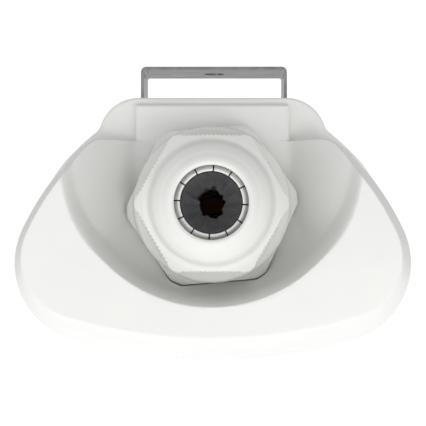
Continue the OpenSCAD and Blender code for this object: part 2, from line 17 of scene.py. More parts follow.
import bmesh
import bpy
import numpy as np
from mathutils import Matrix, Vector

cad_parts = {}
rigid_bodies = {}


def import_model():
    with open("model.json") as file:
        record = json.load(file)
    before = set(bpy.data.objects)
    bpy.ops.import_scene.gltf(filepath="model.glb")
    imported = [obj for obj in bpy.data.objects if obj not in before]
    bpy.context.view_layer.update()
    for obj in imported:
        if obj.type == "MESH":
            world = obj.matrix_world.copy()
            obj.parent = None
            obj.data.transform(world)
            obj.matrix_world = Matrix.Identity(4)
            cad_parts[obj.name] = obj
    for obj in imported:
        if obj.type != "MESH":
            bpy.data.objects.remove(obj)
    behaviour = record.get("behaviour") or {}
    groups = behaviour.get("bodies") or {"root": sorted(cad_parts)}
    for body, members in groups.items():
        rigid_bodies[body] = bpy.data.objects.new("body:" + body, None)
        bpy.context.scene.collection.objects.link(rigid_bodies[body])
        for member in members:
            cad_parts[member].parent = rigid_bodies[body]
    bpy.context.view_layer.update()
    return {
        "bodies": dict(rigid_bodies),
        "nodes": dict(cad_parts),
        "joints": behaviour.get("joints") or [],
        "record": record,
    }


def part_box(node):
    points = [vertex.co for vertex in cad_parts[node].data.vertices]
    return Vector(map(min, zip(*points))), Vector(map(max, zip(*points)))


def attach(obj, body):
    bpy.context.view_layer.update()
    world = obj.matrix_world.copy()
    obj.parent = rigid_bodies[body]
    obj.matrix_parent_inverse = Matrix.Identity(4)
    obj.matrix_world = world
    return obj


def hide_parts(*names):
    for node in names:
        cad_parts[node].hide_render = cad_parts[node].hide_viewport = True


LOG = logging.getLogger("batten_lamp")
MM = 0.001


# ---------------------------------------------------------------- helpers


def linear(hex_code: str) -> tuple[float, float, float, float]:
    """Turns an sRGB hex colour into linear light.

    Args:
        hex_code: Six hex digits with a leading hash.

    Returns:
        Red, green, blue and an alpha of 1.
    """
    parts = [int(hex_code[i : i + 2], 16) / 255 for i in (1, 3, 5)]
    lin = [p / 12.92 if p <= 0.04045 else ((p + 0.055) / 1.055) ** 2.4 for p in parts]
    return lin[0], lin[1], lin[2], 1.0


def add_node(
    tree: bpy.types.NodeTree,
    kind: str,
    settings: dict[str, Any] | None = None,
    links: dict[str, bpy.types.NodeSocket] | None = None,
) -> bpy.types.Node:
    """Adds one shader node, sets it up and links its inputs.

    Args:
        tree: The tree that gets the node.
        kind: The node's type name.
        settings: Values by attribute name, or by input name where no attribute has it.
        links: Output sockets of other nodes by the name of the input they feed.

    Returns:
        The new node.
    """
    new = tree.nodes.new(kind)
    for key, value in (settings or {}).items():
        if hasattr(new, key) and key not in new.inputs:
            setattr(new, key, value)
        else:
            new.inputs[key].default_value = value
    for key, socket in (links or {}).items():
        tree.links.new(socket, new.inputs[key])
    return new


def deselect_all() -> None:
    """Leaves edit mode and clears the selection, so that operators touch new work only."""
    if bpy.context.object and bpy.context.object.mode != "OBJECT":
        bpy.ops.object.mode_set(mode="OBJECT")
    bpy.ops.object.select_all(action="DESELECT")


def make_active(obj: bpy.types.Object) -> None:
    """Selects one object alone and makes it the active one.

    Args:
        obj: The object that the next operators act on.
    """
    deselect_all()
    obj.select_set(True)
    bpy.context.view_layer.objects.active = obj


def apply_modifier(obj: bpy.types.Object, kind: str, **settings: Any) -> None:
    """Adds a modifier, sets it up and applies it.

    Args:
        obj: The object that is shaped.
        kind: The modifier's type name.
        **settings: Values by attribute name.
    """
    make_active(obj)
    mod = obj.modifiers.new(kind.title(), kind)
    for key, value in settings.items():
        setattr(mod, key, value)
    bpy.ops.object.modifier_apply(modifier=mod.name)


def tidy_mesh(obj: bpy.types.Object, merge: float = 0.004 * MM, angle: float = 32) -> None:
    """Merges doubles, turns every face outwards and smooths all but the sharp edges.

    Args:
        obj: A finished mesh object.
        merge: Distance under which corners are one, in metres.
        angle: Edges bent by less than this many degrees are smoothed.
    """
    make_active(obj)
    bpy.ops.object.mode_set(mode="EDIT")
    bpy.ops.mesh.select_all(action="SELECT")
    bpy.ops.mesh.remove_doubles(threshold=merge)
    bpy.ops.mesh.normals_make_consistent(inside=False)
    bpy.ops.object.mode_set(mode="OBJECT")
    bpy.ops.object.shade_smooth_by_angle(angle=math.radians(angle))


def join(name: str, parts: Sequence[bpy.types.Object]) -> bpy.types.Object:
    """Joins several mesh objects into one named piece.

    Args:
        name: The piece's name.
        parts: The objects that become one.

    Returns:
        The joined object.
    """
    deselect_all()
    for part in parts:
        part.select_set(True)
    bpy.context.view_layer.objects.active = parts[0]
    if len(parts) > 1:
        bpy.ops.object.join()
    parts[0].name = name
    parts[0].data.name = name
    return parts[0]


def shell(name: str, rings: Sequence[np.ndarray]) -> bpy.types.Object:
    """Models a closed shell by extruding a circle's edge ring after ring, back to the first.

    Args:
        name: The new object's name.
        rings: Arrays of points in metres, all with the same number of rows.

    Returns:
        The new mesh object.
    """
    deselect_all()
    bpy.ops.mesh.primitive_circle_add(vertices=len(rings[0]), radius=0.01)
    obj = bpy.context.object
    obj.name = name
    bpy.ops.object.mode_set(mode="EDIT")
    mesh = bmesh.from_edit_mesh(obj.data)
    mesh.verts.ensure_lookup_table()
    slot = mesh.verts.layers.int.new("slot")
    for index, vert in enumerate(mesh.verts):
        vert[slot] = index
        vert.co = rings[0][index]
    for ring in [*rings[1:], rings[0]]:
        bpy.ops.mesh.extrude_edges_move()
        mesh = bmesh.from_edit_mesh(obj.data)
        slot = mesh.verts.layers.int["slot"]
        for vert in mesh.verts:
            if vert.select:
                vert.co = ring[vert[slot]]
        bmesh.update_edit_mesh(obj.data)
    bpy.ops.object.mode_set(mode="OBJECT")
    obj.data.attributes.remove(obj.data.attributes["slot"])
    return obj


def prism(name: str, outline: np.ndarray, offset: np.ndarray) -> bpy.types.Object:
    """Models a prism: one filled outline, extruded along a straight line.

    Args:
        name: The new object's name.
        outline: Points of the flat outline, in metres.
        offset: The way from the first end to the second, in metres.

    Returns:
        The new mesh object.
    """
    deselect_all()
    bpy.ops.mesh.primitive_circle_add(vertices=len(outline), radius=0.01)
    obj = bpy.context.object
    obj.name = name
    for vert, point in zip(obj.data.vertices, outline):
        vert.co = point
    bpy.ops.object.mode_set(mode="EDIT")
    bpy.ops.mesh.select_all(action="SELECT")
    bpy.ops.mesh.edge_face_add()
    bpy.ops.mesh.extrude_region_move(TRANSFORM_OT_translate={"value": tuple(offset)})
    bpy.ops.object.mode_set(mode="OBJECT")
    return obj


def arc(cx: float, cw: float, r: float, a0: float, a1: float, n: int) -> np.ndarray:
    """Points on an arc.

    Args:
        cx: Centre across.
        cw: Centre upwards.
        r: Radius.
        a0: First angle in degrees.
        a1: Last angle in degrees.
        n: Number of steps.

    Returns:
        An array of n + 1 points.
    """
    a = np.radians(np.linspace(a0, a1, n + 1))
    return np.stack([cx + r * np.cos(a), cw + r * np.sin(a)], axis=1)


def soft_min(a: np.ndarray, b: np.ndarray, k: float) -> np.ndarray:
    """Takes the lower of two heights and rounds the corner between them.

    Args:
        a: First heights.
        b: Second heights.
        k: Difference in height over which the corner is rounded.

    Returns:
        The rounded lower heights.
    """
    h = np.clip(k - np.abs(a - b), 0, None) / k
    return np.minimum(a, b) - h * h * k / 4


def ease(x: np.ndarray, low: float, high: float) -> np.ndarray:
    """Rises smoothly from 0 to 1.

    Args:
        x: Where it is wanted.
        low: Value up to which it is 0.
        high: Value from which it is 1.

    Returns:
        Numbers from 0 to 1.
    """
    t = np.clip((x - low) / (high - low), 0, 1)
    return t * t * (3 - 2 * t)


# ---------------------------------------------------------------- finishes


class Grain(Enum):
    """How a surface was made, which decides its fine relief."""

    SPARK = "spark"
    BRUSHED = "brushed"
    EXTRUDED = "extruded"
    MATT = "matt"
    PEEL = "peel"


@dataclass(frozen=True)
class Finish:
    """One material: what it is, how it was made and how it looks."""

    name: str
    colour: str
    second: str
    roughness: float
    grain: Grain
    grain_mm: float
    relief: float
    metallic: float = 0.0
    ior: float = 1.5
    mottle_mm: float = 25.0
    subsurface: float = 0.0
    subsurface_mm: float = 2.0
    coat: float = 0.0
    sheen: float = 0.0

    def stretch(self) -> tuple[float, float, float]:
        """Scale of the relief along x, y and z, from the grain's size.

        Returns:
            Three factors for coordinates in metres.
        """
        s = 1 / (self.grain_mm * MM)
        if self.grain is Grain.BRUSHED:
            return s * 0.02, s, s * 0.02
        if self.grain is Grain.EXTRUDED:
            return s, s * 0.01, s
        return s, s, s

    def build(self) -> bpy.types.Material:
        """Builds the node material.

        Returns:
            The material, named for what it stands for.
        """
        mat = bpy.data.materials.new(self.name)
        mat.use_nodes = True
        tree = mat.node_tree
        tree.nodes.clear()
        place = add_node(tree, "ShaderNodeTexCoord").outputs["Object"]
        # broad, faint cloudiness of the colour, as pigment and handling leave it
        cloud = add_node(
            tree,
            "ShaderNodeTexNoise",
            {"Scale": 1 / (self.mottle_mm * MM), "Detail": 3.0, "Roughness": 0.55},
            {"Vector": place},
        )
        ramp = add_node(tree, "ShaderNodeValToRGB", {}, {"Fac": cloud.outputs["Fac"]})
        ramp.color_ramp.elements[0].position = 0.35
        ramp.color_ramp.elements[0].color = linear(self.second)
        ramp.color_ramp.elements[1].position = 0.65
        ramp.color_ramp.elements[1].color = linear(self.colour)
        # fine relief at the size that the process leaves
        grid = add_node(
            tree, "ShaderNodeMapping", {"Scale": self.stretch()}, {"Vector": place}
        )
        fine = add_node(
            tree,
            "ShaderNodeTexNoise",
            {"Scale": 1.0, "Detail": 2.0, "Roughness": 0.6},
            {"Vector": grid.outputs["Vector"]},
        )
        bump = add_node(
            tree,
            "ShaderNodeBump",
            {"Strength": self.relief, "Distance": self.grain_mm * MM * 0.25},
            {"Height": fine.outputs["Fac"]},
        )
        # the same relief makes the gloss uneven
        gloss = add_node(
            tree,
            "ShaderNodeMapRange",
            {
                "From Min": 0.3,
                "From Max": 0.7,
                "To Min": self.roughness * 0.88,
                "To Max": min(1.0, self.roughness * 1.14),
            },
            {"Value": fine.outputs["Fac"]},
        )
        skin = add_node(
            tree,
            "ShaderNodeBsdfPrincipled",
            {
                "Metallic": self.metallic,
                "IOR": self.ior,
                "Coat Weight": self.coat,
                "Sheen Weight": self.sheen,
                "Subsurface Weight": self.subsurface,
                "Subsurface Scale": self.subsurface_mm * MM,
                "Subsurface Radius": (1.0, 1.0, 1.0),
            },
            {
                "Base Color": ramp.outputs["Color"],
                "Roughness": gloss.outputs["Result"],
                "Normal": bump.outputs["Normal"],
            },
        )
        add_node(tree, "ShaderNodeOutputMaterial", {}, {"Surface": skin.outputs["BSDF"]})
        return mat


# Moulded polycarbonate: a hard white with a satin spark-eroded skin; the grain is drawn
# at 0.5 mm, coarser than the real one, so that it shows at all.
MOULDED_PC = Finish(
    "moulded_white_polycarbonate", "#EDEDEA", "#E9E9E7", 0.36, Grain.SPARK, 0.5, 0.05
)
# Extruded polycarbonate: the same white with faint lines along the tube from the die.
EXTRUDED_PC = Finish(
    "extruded_white_polycarbonate", "#ECECE9", "#E8E8E5", 0.3, Grain.EXTRUDED, 0.8, 0.06
)
# Extruded opal polycarbonate: milky and slightly see-through, with a soft gloss.
OPAL_PC = Finish(
    "extruded_opal_polycarbonate", "#F6F6F2", "#F2F2EE", 0.24, Grain.EXTRUDED, 1.2, 0.04,
    subsurface=0.35, subsurface_mm=3.0,
)
# Moulded nylon: a warmer, waxier white than the cap's.
NYLON = Finish(
    "moulded_white_nylon", "#E9E9E6", "#E4E4E1", 0.44, Grain.SPARK, 0.4, 0.06,
    subsurface=0.08, subsurface_mm=1.0,
)
# Moulded rubber: dark grey, dull, with a faint bloom on the surface.
RUBBER = Finish(
    "moulded_grey_rubber", "#3A3A3C", "#2E2E30", 0.72, Grain.MATT, 0.5, 0.35,
    mottle_mm=3.0, sheen=0.1,
)
# Silicone gasket: black and a little softer in gloss.
SILICONE = Finish(
    "moulded_black_silicone", "#1F1F20", "#19191A", 0.6, Grain.MATT, 0.6, 0.15, mottle_mm=6.0
)
# Cold rolled stainless strip: long fine lines along the strip, bright but not mirror-like.
STAINLESS = Finish(
    "brushed_stainless_steel", "#ABACAE", "#8D8E91", 0.22, Grain.BRUSHED, 0.6, 0.12,
    metallic=1.0, mottle_mm=5.0,
)
# Zinc plated screw steel: pale, faintly blue and satin.
ZINC = Finish(
    "zinc_plated_steel", "#C3C7CC", "#AEB3B9", 0.34, Grain.PEEL, 0.3, 0.12,
    metallic=1.0, mottle_mm=1.5,
)
# Powder coated sheet: white with the orange peel of a baked powder.
POWDER_COAT = Finish(
    "powder_coated_white_steel", "#E6E6E3", "#E1E1DD", 0.4, Grain.PEEL, 0.9, 0.25
)
# Solder resist on an aluminium board: a flat, slightly glossy white film.
SOLDER_RESIST = Finish(
    "white_solder_resist", "#F1F1EE", "#ECECE8", 0.3, Grain.PEEL, 0.5, 0.08, mottle_mm=8.0
)
# Phosphor in clear silicone: lemon yellow with a soft, wet gloss.
PHOSPHOR = Finish(
    "led_phosphor_silicone", "#F0D878", "#E9CC62", 0.22, Grain.PEEL, 0.4, 0.1,
    mottle_mm=1.0, coat=0.3,
)
# Moulded ABS of the driver: light grey with a satin skin.
DRIVER_ABS = Finish(
    "moulded_grey_abs", "#D3D6D9", "#CCCFD3", 0.42, Grain.SPARK, 0.5, 0.12, mottle_mm=12.0
)
# Moulded polyamide of the terminals: pale and dull.
POLYAMIDE = Finish(
    "moulded_pale_polyamide", "#DCDCD6", "#D4D4CD", 0.5, Grain.SPARK, 0.4, 0.12, mottle_mm=6.0
)
# Moulded orange buttons.
BUTTON = Finish(
    "moulded_orange_polyamide", "#DF7427", "#D2681E", 0.4, Grain.SPARK, 0.35, 0.12, mottle_mm=3.0
)
# Plated brass strip of the contacts.
BRASS = Finish(
    "plated_brass_strip", "#CFA658", "#BD9247", 0.28, Grain.BRUSHED, 0.25, 0.15,
    metallic=1.0, mottle_mm=2.0,
)
# PVC insulation in the wiring colours: smooth, a little waxy.
PVC_BROWN = Finish("brown_pvc_insulation", "#6B4226", "#60391F", 0.38, Grain.PEEL, 0.5, 0.1)
PVC_BLUE = Finish("blue_pvc_insulation", "#2C5AA0", "#254F90", 0.38, Grain.PEEL, 0.5, 0.1)
PVC_GREEN = Finish(
    "green_yellow_pvc_insulation", "#5F9A33", "#C8B92F", 0.38, Grain.PEEL, 0.5, 0.1, mottle_mm=5.0
)
PVC_RED = Finish("red_pvc_insulation", "#A8322A", "#982A23", 0.38, Grain.PEEL, 0.5, 0.1)
PVC_BLACK = Finish("black_pvc_insulation", "#262627", "#1F1F20", 0.38, Grain.PEEL, 0.5, 0.1)


@dataclass
class Palette:
    """Builds each finish once and hands out its material."""

    made: dict[str, bpy.types.Material] = field(default_factory=dict)

    def get(self, finish: Finish) -> bpy.types.Material:
        """Gives the material of a finish, built on first use.

        Args:
            finish: The finish that is wanted.

        Returns:
            Its material.
        """
        if finish.name not in self.made:
            self.made[finish.name] = finish.build()
        return self.made[finish.name]

    def paint(self, obj: bpy.types.Object, finish: Finish) -> None:
        """Gives every material slot of an object the same finish.

        Args:
            obj: The piece.
            finish: Its finish.
        """
        if not obj.material_slots:
            obj.data.materials.append(None)
        for place in obj.material_slots:
            place.material = self.get(finish)


# ---------------------------------------------------------------- frame


class End(Enum):
    """The two ends of the lamp, with the sign of x and y there."""

    FRONT = -1
    REAR = 1


@dataclass(frozen=True)
class Site:
    """Places points of an end's own directions in the model's frame."""

    end: End
    tube_half: float
    axis_z: float

    def put(self, x: np.ndarray, w: np.ndarray, u: np.ndarray) -> np.ndarray:
        """Turns millimetres at this end into metres in the model's frame.

        Args:
            x: Across, to the right as seen when facing the end from outside.
            w: Up from the gland's axis.
            u: Out of the tube's end.

        Returns:
            An array of points.
        """
        x, w, u = np.broadcast_arrays(
            np.asarray(x, float), np.asarray(w, float), np.asarray(u, float)
        )
        sx = 1.0 if self.end is End.FRONT else -1.0
        y = self.end.value * (self.tube_half + u)
        return np.stack([sx * x, y, w + self.axis_z], axis=-1) * MM


@dataclass(frozen=True)
class Outline:
    """The closed outline of the end cap and of the tube, made of a few arcs."""

    bottom_r: float = 100.0
    bottom_w: float = -30.9
    side_r: float = 16.0
    side_x: float = 24.0
    flank_r: float = 55.0
    flank_a: float = 25.0
    shoulder_r: float = 8.0
    shoulder_x: float = 14.8
    top_w: float = 21.7
    waist_r: float = 3.0
    eye_w: float = 8.5
    rail_edge: float = 0.8

    def lower(self, side: float, bottom: float, last: float) -> tuple[np.ndarray, float, float]:
        """Bottom, side and flank arcs of the right half.

        Args:
            side: Inset at the sides.
            bottom: Inset at the bottom.
            last: Angle where the flank ends, in degrees.

        Returns:
            The points, and the flank centre's x and w.
        """
        rb, rs = self.bottom_r - bottom, self.side_r - side
        wb = self.bottom_w + bottom
        sw = wb + rb - math.sqrt((rb - rs) ** 2 - self.side_x**2)
        ab = math.degrees(math.atan2(sw - wb - rb, self.side_x))
        fr = self.flank_r - side
        fx = self.side_x - (fr - rs) * math.cos(math.radians(self.flank_a))
        fw = sw - (fr - rs) * math.sin(math.radians(self.flank_a))
        pts = np.concatenate(
            [
                arc(0, wb + rb, rb, -90, ab, 80),
                arc(self.side_x, sw, rs, ab, self.flank_a, 120)[1:],
                arc(fx, fw, fr, self.flank_a, last, 90)[1:],
            ]
        )
        return pts, fx, fw

    def cap(self, inset: float) -> np.ndarray:
        """Right half of the cap's full outline, from the bottom to the top.

        Args:
            inset: How far the outline is moved inwards.

        Returns:
            The points.
        """
        pts, fx, fw = self.lower(inset, inset, 50)
        sw = self.top_w - self.shoulder_r
        dx, dw = self.shoulder_x - fx, sw - fw
        gap = math.hypot(dx, dw)
        ra, rb = self.flank_r + self.waist_r, self.shoulder_r + self.waist_r
        along = (ra * ra - rb * rb + gap * gap) / (2 * gap)
        off = math.sqrt(ra * ra - along * along)
        cx = fx + (along * dx + off * dw) / gap
        cw = fw + (along * dw - off * dx) / gap
        turn = math.degrees(math.atan2(cw - fw, cx - fx))
        back = math.degrees(math.atan2(cw - sw, cx - self.shoulder_x))
        pts, _, _ = self.lower(inset, inset, turn)
        return np.concatenate(
            [
                pts,
                arc(cx, cw, self.waist_r + inset, turn + 180, back + 180, 24)[1:],
                arc(self.shoulder_x, sw, self.shoulder_r - inset, back, 90, 60)[1:],
                np.array([[0.0, self.top_w - inset]]),
            ]
        )

    def nose(self, side: float, bottom: float, corner: float, top: float) -> np.ndarray:
        """Right half of the nose's outline, with its rounded top corner.

        Args:
            side: Inset at the sides.
            bottom: Inset at the bottom.
            corner: Radius of the top corner.
            top: Height of the straight top edge.

        Returns:
            The points, from the bottom to the top.
        """
        _, fx, fw = self.lower(side, bottom, 40)
        reach = self.flank_r - side - corner
        cx = fx + math.sqrt(reach**2 - (top - corner - fw) ** 2)
        last = math.degrees(math.atan2(top - corner - fw, cx - fx))
        pts, _, _ = self.lower(side, bottom, last)
        turn = arc(cx, top - corner, corner, last, 90, 40)[1:]
        return np.concatenate([pts, turn, np.array([[0.0, top]])])

    def tube(self, inset: float, step_w: float, rail_x: float, rail_w: float) -> np.ndarray:
        """Right half of the tube's outline with its narrower rail on top.

        Args:
            inset: How far the outline is moved inwards.
            step_w: Height of the step beside the rail.
            rail_x: Half of the rail's width.
            rail_w: Height of the rail's top.

        Returns:
            The points, from the bottom to the top.
        """
        _, _, fw = self.lower(inset, inset, 40)
        last = math.degrees(math.asin((step_w - fw) / (self.flank_r - inset)))
        pts, _, _ = self.lower(inset, inset, last)
        edge_w = rail_w - self.rail_edge
        rail = [[rail_x, step_w], [rail_x, edge_w], [rail_x - self.rail_edge, rail_w], [0, rail_w]]
        return np.concatenate([pts, np.array(rail)])

    def radius(self, half: np.ndarray, angles: np.ndarray) -> np.ndarray:
        """Distance from the scoop's centre to a half outline, along each ray.

        Args:
            half: Points of the right half, from the bottom to the top.
            angles: Ray directions in radians, any turn.

        Returns:
            One radius for each ray.
        """
        x, w = half[:, 0], half[:, 1] - self.eye_w
        dense_x = np.concatenate([np.linspace(x[i], x[i + 1], 12) for i in range(len(x) - 1)])
        dense_w = np.concatenate([np.linspace(w[i], w[i + 1], 12) for i in range(len(w) - 1)])
        a = np.arctan2(dense_w, dense_x)
        a[0] = -math.pi / 2
        order = np.argsort(a)
        fold = np.arcsin(np.sin(angles))
        return np.interp(fold, a[order], np.hypot(dense_x, dense_w)[order])


# ---------------------------------------------------------------- end cap


@dataclass
class EndCap:
    """A moulded end cap, hollow inside.

    It has a skirt over the tube, a shoulder plate, a drafted nose with its scoop, and the
    raised seat of the gland. Heights named _u are over the tube's end. The two profiles hold
    the inset, the step's height, and half of the width and the height of the rail.
    """

    site: Site
    outline: Outline
    hexagonal: bool
    draft_side: float = 4.3
    draft_bottom: float = 5.4
    nose_len: float = 30.0
    nose_u: float = 3.0
    nose_top_w: float = 12.9
    nose_corner: float = 5.0
    crown: float = 1.1
    scoop_r: float = 27.8
    scoop_bend: float = 12.0
    scoop_lean: float = 1.5
    wall_slope: float = 6.3
    ramp_x: float = 15.6
    ramp_k: float = 1.45
    ramp_soft: float = 1.5
    blend: int = 8
    pocket_half: float = 15.06
    pocket_corner_r: float = 16.75
    pocket_plug_r: float = 15.0
    pocket_turn: float = 35.0
    pocket_slope: float = 40.0
    plate_u: float = 7.0
    seat_u: float = 9.5
    boss_x: float = 15.3
    boss_foot_w: float = 10.6
    boss_w: float = 20.1
    boss_edge: float = 0.7
    boss_proud: float = 0.012
    lip_drop: float = 0.4
    face_round: float = 2.4
    lip_round: float = 1.3
    tip_round: float = 4.9
    shoulder_round: float = 0.64
    top_round: float = 0.26
    side_wall: float = 2.0
    nose_wall: float = 2.2
    scoop_wall: float = 2.6
    seat_profile: tuple[float, float, float, float] = (1.7, 13.3, 15.6, 19.3)
    bore_profile: tuple[float, float, float, float] = (4.6, 10.4, 11.0, 16.6)
    skirt: float = 10.0
    land_u: float = 1.5
    web_u: float = 4.5
    hole_r: float = 11.3
    outer_steps: int = 100
    inner_steps: int = 44
    samples: int = 4000

    def ray_angles(self) -> np.ndarray:
        """Directions of the rays from the scoop's centre.

        Returns:
            Angles in radians: every degree, and one through each corner of the tube's seat.
        """
        corners = []
        for profile in (self.seat_profile, self.bore_profile):
            tail = self.outline.tube(*profile)[-5:-1]
            turn = np.degrees(np.arctan2(tail[:, 1] - self.outline.eye_w, tail[:, 0]))
            corners += [*turn, *(180 - turn)]
        even = np.arange(-90, 270, 1.0)
        free = [t for t in even if min(abs(t - c) for c in corners) > 0.3]
        return np.radians(np.sort(np.array(free + corners)))

    def pocket(self, x: np.ndarray, w: np.ndarray) -> np.ndarray:
        """Height of the sunk flat place under the gland's hexagon or under the plug.

        Args:
            x: Across.
            w: Up from the gland's axis.

        Returns:
            Heights over the tube's end, steeply rising outside the place.
        """
        if self.hexagonal:
            d = np.full_like(x, -99.0)
            for k in range(3):
                b = math.radians(self.pocket_turn + 60 * k)
                d = np.maximum(d, np.abs(x * math.cos(b) + w * math.sin(b)) - self.pocket_half)
            d = np.maximum(d, np.hypot(x, w) - self.pocket_corner_r)
        else:
            d = np.hypot(x, w) - self.pocket_plug_r
        return self.seat_u + self.pocket_slope * np.clip(d, 0, None)

    def scoop(self, x: np.ndarray, w: np.ndarray) -> np.ndarray:
        """Height of the scoop's surface: a round wall with a hollow foot, and two ramps.

        Args:
            x: Across.
            w: Up from the gland's axis.

        Returns:
            Heights over the tube's end.
        """
        r = np.hypot(x, w - self.outline.eye_w)
        foot = self.scoop_r - self.scoop_lean - self.scoop_bend
        reach = self.scoop_bend * math.cos(math.radians(8))
        t = np.clip(r - foot, 0, reach)
        wall = self.scoop_bend - np.sqrt(self.scoop_bend**2 - t * t)
        wall = wall + self.wall_slope * np.clip(r - foot - reach, 0, None)
        out = np.abs(x) - self.ramp_x
        ramp = self.ramp_k * (out + np.sqrt(out * out + self.ramp_soft)) / 2
        return self.seat_u + (wall**self.blend + ramp**self.blend) ** (1 / self.blend)

    def height(self, r: np.ndarray, a: float, base: float, lip: float) -> np.ndarray:
        """Height of the nose's outside along one ray.

        Args:
            r: Distances from the scoop's centre.
            a: The ray's direction in radians.
            base: Radius of the outline where the draft starts.
            lip: Radius of the outline where it ends.

        Returns:
            Heights over the tube's end.
        """
        x, w = r * math.cos(a), r * math.sin(a) + self.outline.eye_w
        band = self.nose_u + (self.nose_len - self.nose_u) * (base - r) / max(base - lip, 0.4)
        face = self.nose_len + 0.25 - self.crown * ((x / 36) ** 2 + ((w + 8) / 30) ** 2)
        # the scoop's edge is rounder below the two tips of the nose
        at_tip = ease(np.abs(x), 19.0, 26.5) * (1 - ease(w, 6.5, 10.5))
        low = np.minimum(self.scoop(x, w), self.pocket(x, w))
        roll = self.lip_round + self.tip_round * at_tip
        return soft_min(soft_min(band, face, self.face_round), low, roll)

    @staticmethod
    def spread(r: np.ndarray, u: np.ndarray, steps: int) -> tuple[np.ndarray, np.ndarray]:
        """Picks points of a profile, closer together where it bends.

        Args:
            r: Radii along the profile.
            u: Heights along the profile.
            steps: How many points are picked.

        Returns:
            Radii and heights of the picked points.
        """
        bend = np.abs(np.gradient(np.unwrap(np.arctan2(np.gradient(u), np.gradient(-r)))))
        ds = np.hypot(np.gradient(r), np.gradient(u))
        near = np.convolve(bend, np.ones(41) / 41, mode="same") / np.maximum(ds, 1e-6)
        s = np.cumsum(ds * (1.0 + 5.0 * np.minimum(near, 1.0)))
        s = (s - s[0]) / (s[-1] - s[0])
        pick = np.linspace(0, 1, steps)
        return np.interp(pick, s, r), np.interp(pick, s, u)

    def moulding(self) -> bpy.types.Object:
        """Models nose, plate, skirt and hollow inside as one wall that closes in itself.

        Returns:
            The cap without the raised seat.
        """
        line, a = self.outline, self.ray_angles()
        sin, cos = np.sin(a), np.cos(a)
        rim = line.radius(line.cap(0), a)
        base = line.radius(line.nose(0, 0, self.nose_corner, self.nose_top_w), a)
        lip_top = self.nose_top_w - self.lip_drop
        lip = line.nose(self.draft_side, self.draft_bottom, self.nose_corner, lip_top)
        lip = line.radius(lip, a)
        fit = line.radius(line.tube(*self.seat_profile), a)
        inner = line.radius(line.tube(*self.bore_profile), a)
        hole = np.sqrt(self.hole_r**2 - (line.eye_w * cos) ** 2) - line.eye_w * sin
        rim_w = rim * sin + line.eye_w
        side = ease(rim_w, 4.5, 9.0)
        round_r = self.shoulder_round * side + self.top_round * ease(rim_w, 12.0, 16.0)
        ledge = self.nose_u + (self.plate_u - self.nose_u) * side

        outer, under = [], []
        for i in range(len(a)):
            r = np.linspace(hole[i], min(base[i], rim[i] - round_r[i]), self.samples)
            u = np.maximum(self.height(r, a[i], base[i], lip[i]), ledge[i])
            outer.append(self.spread(r, u, self.outer_steps))
            r = np.linspace(inner[i], hole[i], self.samples // 2)
            x, w = r * cos[i], r * sin[i] + line.eye_w
            # only the lower part beside the gland's web is hollowed towards the nose
            open_here = (1 - ease(w, 1.0, 4.0)) * ease(np.hypot(x, w), 16.5, 18.0)
            thin = self.height(r + self.side_wall, a[i], base[i], lip[i])
            near = r - self.nose_wall
            back = self.scoop(near * cos[i], near * sin[i] + line.eye_w) - self.scoop_wall
            deep = np.minimum(np.minimum(thin, self.nose_len - self.nose_wall), back) - self.web_u
            u = self.web_u + open_here * np.clip(deep, 0, None)
            under.append(self.spread(r, u, self.inner_steps))

        rings: list[np.ndarray] = []

        def add(r: np.ndarray, u: np.ndarray | float) -> None:
            """Adds a ring of the given radii and heights.

            Args:
                r: One radius for each ray.
                u: Heights over the tube's end.
            """
            rings.append(self.site.put(r * cos, r * sin + line.eye_w, u))

        for k in range(self.outer_steps):
            add(np.array([o[0][k] for o in outer]), np.array([o[1][k] for o in outer]))
        for q in range(7):
            turn = math.radians(15 * q)
            drop = round_r * (1 - math.cos(turn))
            # the last term keeps rings apart where nothing is rounded
            add(rim - round_r * (1 - math.sin(turn)), ledge - drop - 0.002 * q)
        for u in np.linspace(2.2, -self.skirt + 0.3, 6):
            add(rim, u)
        add(line.radius(line.cap(0.3), a), -self.skirt)
        add(fit + 0.2, -self.skirt)
        add(fit, -self.skirt + 0.3)
        add(fit, self.land_u)
        add(inner, self.land_u)
        for k in range(self.inner_steps):
            add(np.array([o[0][k] for o in under]), np.array([o[1][k] for o in under]))
        return shell("moulding", rings)

    def boss(self) -> bpy.types.Object:
        """Models the raised seat above the nose, with rounded edges.

        Returns:
            The seat as a closed mesh.
        """
        low = self.site.put(-self.boss_x, self.boss_foot_w, self.web_u + 0.5)
        high = self.site.put(self.boss_x, self.boss_w, self.seat_u + self.boss_proud)
        deselect_all()
        bpy.ops.mesh.primitive_cube_add(size=1)
        obj = bpy.context.object
        obj.name = "boss"
        obj.location = (low + high) / 2
        obj.scale = np.abs(high - low)
        bpy.ops.object.transform_apply(location=True, rotation=True, scale=True)
        face = high[1]
        foot = low[2]
        bpy.ops.object.mode_set(mode="EDIT")
        bpy.ops.mesh.select_all(action="DESELECT")
        mesh = bmesh.from_edit_mesh(obj.data)
        for edge in mesh.edges:
            in_front = all(abs(v.co.y - face) < 1e-6 for v in edge.verts)
            edge.select = in_front and not all(abs(v.co.z - foot) < 1e-6 for v in edge.verts)
        bmesh.update_edit_mesh(obj.data)
        bpy.ops.mesh.bevel(offset=self.boss_edge * MM, segments=5, profile=0.5)
        bpy.ops.object.mode_set(mode="OBJECT")
        return obj

    def build(self, palette: Palette, node: str, body: str) -> bpy.types.Object:
        """Builds the whole cap in place of its CAD node.

        Args:
            palette: Source of the materials.
            node: Name of the CAD node that it stands for.
            body: Body that it moves with.

        Returns:
            The finished piece.
        """
        parts = [self.moulding(), self.boss()]
        for part in parts:
            tidy_mesh(part, angle=40)
        cap = join(node + "_skin", parts)
        palette.paint(cap, MOULDED_PC)
        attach(cap, body)
        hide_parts(node)
        LOG.info("%s: %d faces", cap.name, len(cap.data.polygons))
        return cap


# ---------------------------------------------------------------- gland


